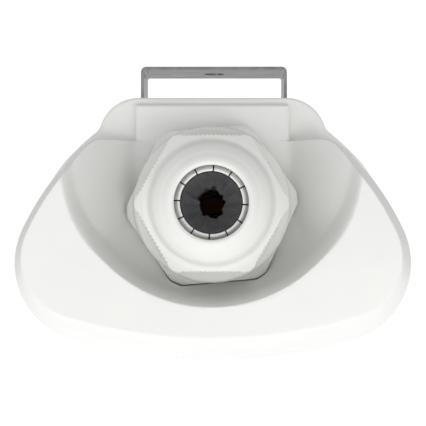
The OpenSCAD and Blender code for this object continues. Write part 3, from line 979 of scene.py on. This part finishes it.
@dataclass
class Gland:
    """The cable gland: hexagon collar with its threads, clamping fingers, seal and nut.

    Sizes named _af are across flats, those named _u are heights over the tube's end, and
    directions are in degrees.
    """

    site: Site
    body_af: float = 30.0
    body_turn: float = 5.0
    nut_af: float = 26.0
    mouth_r: float = 6.9
    hex_u0: float = 10.5
    hex_u1: float = 16.5
    nut_u0: float = 17.0
    nut_u1: float = 28.0
    nut_u2: float = 35.0
    tail_u: float = -3.5
    thread_r: float = 11.1
    thread_depth: float = 0.8
    pitch: float = 1.5
    bore_r: float = 7.6
    collar_bore_r: float = 7.7
    neck_r: float = 10.6
    neck_u: float = 26.3
    fingers: int = 12
    ribs: int = 15
    rib_depth: float = 0.3
    ribbed_share: float = 0.8
    seal_r: float = 5.55
    seal_u: float = 33.0
    seal_hole: tuple[float, float] = (2.35, 2.95)
    slot_turn: float = -3.5
    slot_half: float = 1.1

    @staticmethod
    def hexagon(a: np.ndarray, af: float, turn: float, round_by: float) -> np.ndarray:
        """Radius of a hexagon with softened corners.

        Args:
            a: Directions in radians.
            af: Width across flats.
            turn: Direction of a corner in degrees.
            round_by: How much is taken off each corner.

        Returns:
            One radius for each direction.
        """
        b = np.mod(a - math.radians(turn), math.pi / 3) - math.pi / 6
        return soft_min(af / 2 / np.cos(b), np.full_like(a, af / math.sqrt(3) - round_by), 0.5)

    def ring(self, r: np.ndarray | float, a: np.ndarray, u: np.ndarray | float) -> np.ndarray:
        """Points at the given radii round the gland's axis.

        Args:
            r: One radius, or one for each direction.
            a: Directions in radians.
            u: Height over the tube's end.

        Returns:
            An array of points.
        """
        return self.site.put(r * np.cos(a), r * np.sin(a), u)

    def threaded(self, name: str, r: float, u0: float, u1: float, inner: float) -> bpy.types.Object:
        """Models a tube with a real helical thread outside.

        Args:
            name: The new object's name.
            r: Radius over the crests.
            u0: Start of the thread.
            u1: End of the thread.
            inner: Bore radius.

        Returns:
            The threaded tube.
        """
        a = np.linspace(0, 2 * math.pi, 72, endpoint=False)
        root = r - self.thread_depth
        rings = [self.ring(inner, a, u0), self.ring(root, a, u0)]
        for u in np.arange(u0 + 0.1, u1 - 0.05, self.pitch / 8):
            wave = np.abs(np.mod(u / self.pitch - a / (2 * math.pi), 1) - 0.5) * 2
            fade = min(1.0, (u - u0) / self.pitch, (u1 - u) / self.pitch)
            cut = self.thread_depth * np.clip(1.35 * wave - 0.2, 0, 1)
            rings.append(self.ring(r - cut - (1 - fade) * (self.thread_depth - cut), a, u))
        rings += [self.ring(root, a, u1), self.ring(inner, a, u1)]
        return shell(name, rings)

    def collar(self) -> bpy.types.Object:
        """Models the hexagon of the body with its turned corners.

        Returns:
            The collar as a closed ring.
        """
        a = np.linspace(0, 2 * math.pi, 360, endpoint=False)
        hexa = self.hexagon(a, self.body_af, self.body_turn, 0.35)
        u0, u1 = self.hex_u0, self.hex_u1
        rings = [self.ring(self.collar_bore_r, a, u0)]
        # a small chamfer at the foot, then a long turned one that rounds the front corners
        for u, cone in ((u0, 15.7), (u0 + 0.15, 16.1), (u0 + 0.5, 16.5), (u0 + 0.9, 16.7)):
            rings.append(self.ring(np.minimum(hexa - max(0, 0.3 - (u - u0)), cone), a, u))
        for t in np.linspace(0, 1, 9):
            u = u1 - 1.5 + 1.5 * t
            cone = 16.7 - 1.2 * t**1.6
            soft = 0.28 * max(0.0, (t - 0.78) / 0.22) ** 2
            rings.append(self.ring(np.minimum(hexa - soft, cone), a, u))
        rings += [self.ring(r, a, u1) for r in (13.2, 10.0, self.collar_bore_r)]
        return shell("collar", rings)

    def finger(self) -> bpy.types.Object:
        """Models one clamping finger by spinning its section, with eased edges.

        Returns:
            The finger at the first place.
        """
        section = [(7.65, 26.0), (9.4, 26.0), (9.4, 26.6), (6.8, 32.5)]
        section += [(6.45, 33.05), (6.15, 33.3), (5.78, 33.15)]
        start = math.radians(self.slot_turn + self.slot_half)
        pts = np.array(
            [self.site.put(r * math.cos(start), r * math.sin(start), u) for r, u in section]
        )
        deselect_all()
        bpy.ops.mesh.primitive_circle_add(vertices=len(pts), radius=0.01)
        obj = bpy.context.object
        for vert, point in zip(obj.data.vertices, pts):
            vert.co = point
        bpy.ops.object.mode_set(mode="EDIT")
        bpy.ops.mesh.select_all(action="SELECT")
        bpy.ops.mesh.edge_face_add()
        centre = self.site.put(0, 0, 0)
        wide = 2 * math.pi / self.fingers - math.radians(2 * self.slot_half)
        bpy.ops.mesh.spin(steps=5, angle=wide, center=tuple(centre), axis=(0, 1, 0))
        bpy.ops.object.mode_set(mode="OBJECT")
        tidy_mesh(obj)
        apply_modifier(obj, "BEVEL", width=0.1 * MM, segments=2, limit_method="ANGLE")
        return obj

    def crown(self) -> list[bpy.types.Object]:
        """Copies the finger round the gland.

        Returns:
            All fingers, each with its own mesh.
        """
        first = self.finger()
        centre = self.site.put(0, 0, 0)
        fingers = [first]
        for k in range(1, self.fingers):
            make_active(first)
            bpy.ops.object.duplicate()
            copy = bpy.context.object
            bpy.ops.transform.rotate(
                value=2 * math.pi * k / self.fingers,
                orient_axis="Y",
                center_override=tuple(centre),
            )
            bpy.ops.object.transform_apply(location=True, rotation=True, scale=True)
            fingers.append(copy)
        return fingers

    def build_body(self, palette: Palette) -> bpy.types.Object:
        """Builds the gland's body with its collar, threads and fingers.

        Args:
            palette: Source of the materials.

        Returns:
            The finished piece.
        """
        parts = [
            self.collar(),
            self.threaded("tail", self.thread_r, self.tail_u, self.hex_u0 + 0.1, self.bore_r),
            self.threaded("neck", self.neck_r, self.hex_u1 - 0.1, self.neck_u, self.bore_r),
        ]
        for part in parts:
            tidy_mesh(part, angle=28)
        body = join("gland_body_skin", parts + self.crown())
        palette.paint(body, NYLON)
        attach(body, "front_cap")
        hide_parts("gland_body")
        LOG.info("gland body: %d faces", len(body.data.polygons))
        return body

    def build_seal(self, palette: Palette) -> bpy.types.Object:
        """Builds the rubber seal with its pleated, torn-looking cable hole.

        Args:
            palette: Source of the materials.

        Returns:
            The finished piece.
        """
        a = np.linspace(0, 2 * math.pi, 240, endpoint=False)
        wide, high = self.seal_hole
        oval = 1 / np.hypot(np.cos(a - 0.25) / wide, np.sin(a - 0.25) / high)
        ragged = 0.16 * np.sin(5 * a + 0.7) + 0.13 * np.sin(9 * a + 2.1) + 0.1 * np.sin(14 * a)
        hole = oval + ragged
        pleat = 0.5 + 0.5 * np.cos(12 * a)
        rings = [self.ring(2.7, a, 20.2), self.ring(7.5, a, 20.2), self.ring(7.5, a, 26.1)]
        rings += [self.ring(5.74, a, 32.6), self.ring(5.6, a, 32.95)]
        for t in np.linspace(0.05, 1, 9):
            r = self.seal_r + (hole - self.seal_r) * t
            dip = 1.5 * t**1.5 + 0.35 * pleat * math.sin(math.pi * min(1.0, t * 1.1))
            rings.append(self.ring(r, a, self.seal_u - dip))
        rings += [self.ring(hole * 1.02, a, 30.8), self.ring(hole, a, 28.5)]
        rings += [self.ring(0.5 * hole + 1.35, a, 25.0)]
        seal = shell("gland_seal_skin", rings)
        tidy_mesh(seal, angle=50)
        palette.paint(seal, RUBBER)
        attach(seal, "front_cap")
        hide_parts("gland_seal")
        return seal

    def build_nut(self, palette: Palette) -> bpy.types.Object:
        """Builds the dome nut: ribbed hexagon, turned chamfers, stepped dome and cone.

        Args:
            palette: Source of the materials.

        Returns:
            The finished piece.
        """
        a = np.linspace(0, 2 * math.pi, 720, endpoint=False)
        b = np.mod(a, math.pi / 3) - math.pi / 6
        off = self.nut_af / 2 * np.tan(b)
        half = self.nut_af / 2 * math.tan(math.pi / 6)
        pitch = 1.64 * half / self.ribs
        groove = 0.5 - 0.5 * np.cos(2 * math.pi * off / pitch)
        ribs = self.rib_depth * groove * (np.abs(off) < self.ribbed_share * half)
        hexa = self.hexagon(a, self.nut_af, 0, 0.3)
        u0, u1, u2 = self.nut_u0, self.nut_u1, self.nut_u2
        rings = [self.ring(10.7, a, u0), self.ring(13.0, a, u0)]
        # the round flange at the nut's foot
        flange = [(14.4, 0), (14.85, 0.2), (15.05, 0.55), (15.1, 1.1)]
        flange += [(15.05, 1.65), (14.85, 2.0), (14.45, 2.2)]
        rings += [self.ring(r, a, u0 + u) for r, u in flange]
        rings.append(self.ring(np.minimum(hexa - 0.05, 14.3), a, u0 + 2.22))
        for u, deep in ((u0 + 2.5, 0), (u0 + 2.75, 1), (u1 - 2.1, 1)):
            rings.append(self.ring(hexa - ribs * deep, a, u))
        for t in np.linspace(0, 1, 14):
            u = u1 - 1.9 + 1.9 * t
            cone = 15.0 - 2.2 * t**1.25
            rings.append(self.ring(np.minimum(hexa - ribs, cone), a, u))
        # the dome with its steps, the mouth, and the cone inside that presses the fingers
        dome = [(12.35, u1 + 0.1), (12.0, u1 + 0.28), (11.75, u1 + 0.7), (11.6, u1 + 1.6)]
        dome += [(11.4, u1 + 2.6), (11.1, u1 + 3.5), (10.75, u1 + 4.2), (10.45, u1 + 4.55)]
        dome += [(10.2, u1 + 4.85), (9.85, u1 + 5.3), (9.4, u1 + 5.72), (9.05, u1 + 5.95)]
        dome += [(8.85, u1 + 6.15), (8.5, u1 + 6.5), (8.05, u1 + 6.8), (7.65, u1 + 6.96)]
        dome += [(7.35, u1 + 6.98), (7.1, u1 + 6.88), (self.mouth_r, u1 + 6.65)]
        dome += [(self.mouth_r, u1 + 6.0), (7.35, 33.9), (9.95, 26.7), (10.66, 26.5)]
        rings += [self.ring(r, a, u) for r, u in dome]
        nut = shell("gland_nut_skin", rings)
        tidy_mesh(nut, angle=38)
        palette.paint(nut, NYLON)
        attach(nut, "nut")
        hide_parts("gland_nut")
        LOG.info("dome nut: %d faces", len(nut.data.polygons))
        return nut


# ---------------------------------------------------------------- tube


@dataclass
class Tube:
    """The long tube: white back profile above, opal diffuser below.

    Sizes named _w are heights over the gland's axis, and sizes named _x are across.
    """

    site: Site
    outline: Outline
    step: float = 2.0
    back_wall: float = 1.8
    opal_wall: float = 1.6
    split_w: float = -6.5
    step_w: float = 13.0
    rail_x: float = 15.3
    rail_w: float = 19.0
    inner_step_w: float = 11.2
    inner_rail_x: float = 11.4
    groove_x: float = 13.1
    groove_low_w: float = 14.2
    groove_high_w: float = 16.6
    ledge_x: float = 31.2
    ledge_top_w: float = -1.4
    ledge_height: float = 1.4
    ledge_ws: tuple[float, float] = (-5.9, -2.9)

    def cut(self, half: np.ndarray, above: bool) -> np.ndarray:
        """Keeps the part of a half outline on one side of the split.

        Args:
            half: Points of the right half, from the bottom to the top.
            above: True for the upper part.

        Returns:
            The kept points, with one exactly on the split.
        """
        k = int(np.argmax(half[:, 1] > self.split_w))
        p, q = half[k - 1], half[k]
        t = (self.split_w - p[1]) / (q[1] - p[1])
        edge = (p + t * (q - p))[None, :]
        return np.concatenate([edge, half[k:]]) if above else np.concatenate([half[:k], edge])

    def thin(self, half: np.ndarray) -> np.ndarray:
        """Drops most points of the arcs, which are drawn finer than the tube needs.

        Args:
            half: Points of a half outline.

        Returns:
            The points that are kept.
        """
        keep = [0]
        for i in range(1, len(half) - 1):
            if np.hypot(*(half[i] - half[keep[-1]])) > 0.7 or i > len(half) - 6:
                keep.append(i)
        return half[keep + [len(half) - 1]]

    def back(self) -> bpy.types.Object:
        """Models the back profile with its rail, clip grooves and tray ledges.

        Returns:
            The profile as one prism.
        """
        outer = self.outline.tube(self.step, self.step_w, self.rail_x, self.rail_w)
        inset = self.step + self.back_wall
        inner_top = self.rail_w - self.back_wall
        inner = self.outline.tube(inset, self.inner_step_w, self.inner_rail_x, inner_top)
        outer, inner = self.thin(self.cut(outer, True)), self.thin(self.cut(inner, True))
        low, high = self.groove_low_w, self.groove_high_w
        groove = [[self.rail_x, low], [self.groove_x, low]]
        groove += [[self.groove_x, high], [self.rail_x, high]]
        k = int(np.argmax((outer[:, 0] <= self.rail_x + 0.01) & (outer[:, 1] > self.step_w - 0.1)))
        outer = np.concatenate([outer[: k + 1], np.array(groove), outer[k + 1 :]])
        upper = inner[inner[:, 1] > self.ledge_top_w]
        lower = inner[inner[:, 1] <= self.ledge_top_w]
        shelf = []
        for w in self.ledge_ws:
            top = w + self.ledge_height
            x0 = float(np.interp(w, lower[:, 1], lower[:, 0]))
            x1 = float(np.interp(top, lower[:, 1], lower[:, 0]))
            shelf += [[x0, w], [self.ledge_x, w], [self.ledge_x, top], [x1, top]]
        inner = np.concatenate([lower[:1], np.array(shelf), upper])
        mirror = np.array([-1, 1])
        line = np.concatenate([outer, outer[-2::-1] * mirror, inner * mirror, inner[-2::-1]])
        a = self.site.put(line[:, 0], line[:, 1], 0)
        return prism("back_profile_skin", a, np.array([0, 2 * self.site.tube_half * MM, 0]))

    def opal(self) -> bpy.types.Object:
        """Models the opal diffuser as a thin curved wall.

        Returns:
            The diffuser as one prism.
        """
        outer = self.outline.tube(self.step, self.step_w, self.rail_x, self.rail_w)
        outer = self.thin(self.cut(outer, False))
        inset = self.step + self.opal_wall
        # the rail of the inner outline is above the split, so its sizes don't show
        inner = self.thin(self.cut(self.outline.tube(inset, 11.0, 11.0, 17.0), False))
        mirror = np.array([-1, 1])
        line = np.concatenate(
            [outer[::-1] * mirror, outer[1:], inner[::-1], inner[1:] * mirror]
        )
        a = self.site.put(line[:, 0], line[:, 1], 0)
        return prism("diffuser_skin", a, np.array([0, 2 * self.site.tube_half * MM, 0]))

    def build(self, palette: Palette) -> None:
        """Builds both profiles in place of their CAD nodes.

        Args:
            palette: Source of the materials.
        """
        jobs = (
            (self.back(), "back_profile", EXTRUDED_PC, "white_polycarbonate"),
            (self.opal(), "diffuser", OPAL_PC, "opal_polycarbonate"),
        )
        for obj, node, finish, slot in jobs:
            tidy_mesh(obj, angle=25)
            apply_modifier(obj, "TRIANGULATE")
            palette.paint(obj, finish)
            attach(obj, "lamp")
            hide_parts(node)
            LOG.info("%s: %d faces", obj.name, len(obj.data.polygons))


# ---------------------------------------------------------------- carried-over nodes


@dataclass
class CarriedNodes:
    """CAD nodes that keep their own shape and only get their finish."""

    finishes: dict[str, Finish] = field(
        default_factory=lambda: {
            "clip_front": STAINLESS,
            "clip_rear": STAINLESS,
            "gear_tray": POWDER_COAT,
            "led_boards": SOLDER_RESIST,
            "led_chips": PHOSPHOR,
            "board_rivets": NYLON,
            "driver_case": DRIVER_ABS,
            "driver_lid": DRIVER_ABS,
            "driver_screws": ZINC,
            "terminal_block": POLYAMIDE,
            "terminal_contacts": BRASS,
            "terminal_button_live": BUTTON,
            "terminal_button_neutral": BUTTON,
            "terminal_button_earth": BUTTON,
            "terminal_screw": ZINC,
            "earth_tag": BRASS,
            "earth_screw": ZINC,
            "live_lead": PVC_BROWN,
            "neutral_lead": PVC_BLUE,
            "earth_lead": PVC_GREEN,
            "led_lead_plus": PVC_RED,
            "led_lead_minus": PVC_BLACK,
            "front_gasket": SILICONE,
            "rear_gasket": SILICONE,
            "gland_washer": SILICONE,
            "gland_locknut": NYLON,
            "plug": NYLON,
            "plug_washer": SILICONE,
            "plug_locknut": NYLON,
        }
    )

    def dress(self, frame: dict[str, Any], palette: Palette) -> None:
        """Paints each carried-over node.

        Args:
            frame: The loaded CAD frame.
            palette: Source of the materials.
        """
        for name, finish in self.finishes.items():
            palette.paint(frame["nodes"][name], finish)
        LOG.info("dressed %d CAD nodes", len(self.finishes))


# ---------------------------------------------------------------- studio


@dataclass
class Studio:
    """Pale floor, white surroundings, soft lights and the camera."""

    site: Site
    floor_z: float = -0.8
    lens: float = 144.9
    eye_x: float = 2.7
    eye_w: float = -8.75
    eye_u: float = 349.0
    yaw: float = 0.434
    pitch: float = 1.236
    low_sky: float = 0.6
    high_sky: float = 0.56
    floor_glow: float = 0.52
    aim_y: float = -0.29

    def surroundings(self) -> None:
        """Makes the white world and the pale floor."""
        scene = bpy.context.scene
        world = bpy.data.worlds.new("white_room")
        scene.world = world
        world.use_nodes = True
        tree = world.node_tree
        tree.nodes.clear()
        seen = add_node(tree, "ShaderNodeLightPath").outputs["Is Camera Ray"]
        way = add_node(tree, "ShaderNodeTexCoord").outputs["Generated"]
        part = add_node(tree, "ShaderNodeSeparateXYZ", {}, {"Vector": way})
        fall = add_node(
            tree,
            "ShaderNodeMapRange",
            {"From Min": -0.05, "From Max": 0.45, "To Min": self.low_sky, "To Max": self.high_sky},
            {"Value": part.outputs["Z"]},
        )
        lit = add_node(
            tree, "ShaderNodeBackground", {}, {"Strength": fall.outputs["Result"]}
        )
        bright = add_node(tree, "ShaderNodeBackground", {"Strength": 1.1})
        for node in (lit, bright):
            node.inputs["Color"].default_value = (1.0, 1.0, 1.0, 1.0)
        mix = add_node(tree, "ShaderNodeMixShader", {}, {"Fac": seen})
        tree.links.new(lit.outputs[0], mix.inputs[1])
        tree.links.new(bright.outputs[0], mix.inputs[2])
        add_node(tree, "ShaderNodeOutputWorld", {}, {"Surface": mix.outputs[0]})
        scene.view_settings.view_transform = "Standard"
        deselect_all()
        bpy.ops.mesh.primitive_grid_add(x_subdivisions=4, y_subdivisions=4, size=24)
        floor = bpy.context.object
        floor.name = "floor"
        floor.location = (0, 0, self.floor_z)
        mat = bpy.data.materials.new("pale_floor")
        mat.use_nodes = True
        skin = mat.node_tree.nodes["Principled BSDF"]
        skin.inputs["Base Color"].default_value = linear("#F7F7F7")
        skin.inputs["Roughness"].default_value = 0.9
        skin.inputs["Specular IOR Level"].default_value = 0.0
        skin.inputs["Emission Color"].default_value = (1.0, 1.0, 1.0, 1.0)
        skin.inputs["Emission Strength"].default_value = self.floor_glow
        floor.data.materials.append(mat)

    def lamp(
        self, name: str, place: tuple[float, float, float], size: float, power: float
    ) -> None:
        """Adds a square soft light that faces the gland.

        Args:
            name: The light's name.
            place: Its place in metres.
            size: Its side in metres.
            power: Its power in watts.
        """
        data = bpy.data.lights.new(name, "AREA")
        data.shape = "SQUARE"
        data.size = size
        data.energy = power
        obj = bpy.data.objects.new(name, data)
        bpy.context.scene.collection.objects.link(obj)
        aim = np.array([0.0, self.aim_y, self.site.axis_z * MM]) - np.array(place)
        flat = math.hypot(aim[0], aim[1])
        obj.location = place
        obj.rotation_euler = (
            math.pi / 2 + math.atan2(aim[2], flat), 0, math.atan2(aim[1], aim[0]) - math.pi / 2,
        )

    def lights(self) -> None:
        """Adds the soft lights: one low in front from the right, a weaker one from the left."""
        self.lamp("low_front", (0.34, -1.55, -0.42), 0.36, 3.0)
        self.lamp("left_fill", (-0.7, -1.5, -0.1), 0.9, 2.0)

    def camera(self) -> None:
        """Sets the camera in front of the gland, a little below its axis, looking along +Y."""
        data = bpy.data.cameras.new("camera")
        data.lens = self.lens
        data.sensor_width = 36.0
        data.clip_start = 0.01
        obj = bpy.data.objects.new("camera", data)
        bpy.context.scene.collection.objects.link(obj)
        obj.location = self.site.put(self.eye_x, self.eye_w, self.eye_u)
        obj.rotation_euler = (math.radians(90 + self.pitch), 0, math.radians(self.yaw))
        bpy.context.scene.camera = obj


def main() -> None:
    """Builds the looks in order."""
    logging.basicConfig(level=logging.INFO, format="%(name)s: %(message)s")
    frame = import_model()
    tube_half = -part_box("back_profile")[0][1] / MM
    joints = frame["record"]["behaviour"]["joints"]
    nut_joint = next(joint for joint in joints if joint["name"] == "gland_nut_turn")
    axis_z = nut_joint["pos_m"][2] / MM
    palette = Palette()
    outline = Outline()
    front = Site(End.FRONT, tube_half, axis_z)
    rear = Site(End.REAR, tube_half, axis_z)

    studio = Studio(front)
    studio.surroundings()
    studio.lights()
    studio.camera()

    EndCap(front, outline, True).build(palette, "front_end_cap", "front_cap")
    EndCap(rear, outline, False).build(palette, "rear_end_cap", "rear_cap")
    gland = Gland(front)
    gland.build_body(palette)
    gland.build_seal(palette)
    gland.build_nut(palette)
    Tube(front, outline).build(palette)
    CarriedNodes().dress(frame, palette)

    LOG.info("done")


if __name__ == "__main__":
    main()
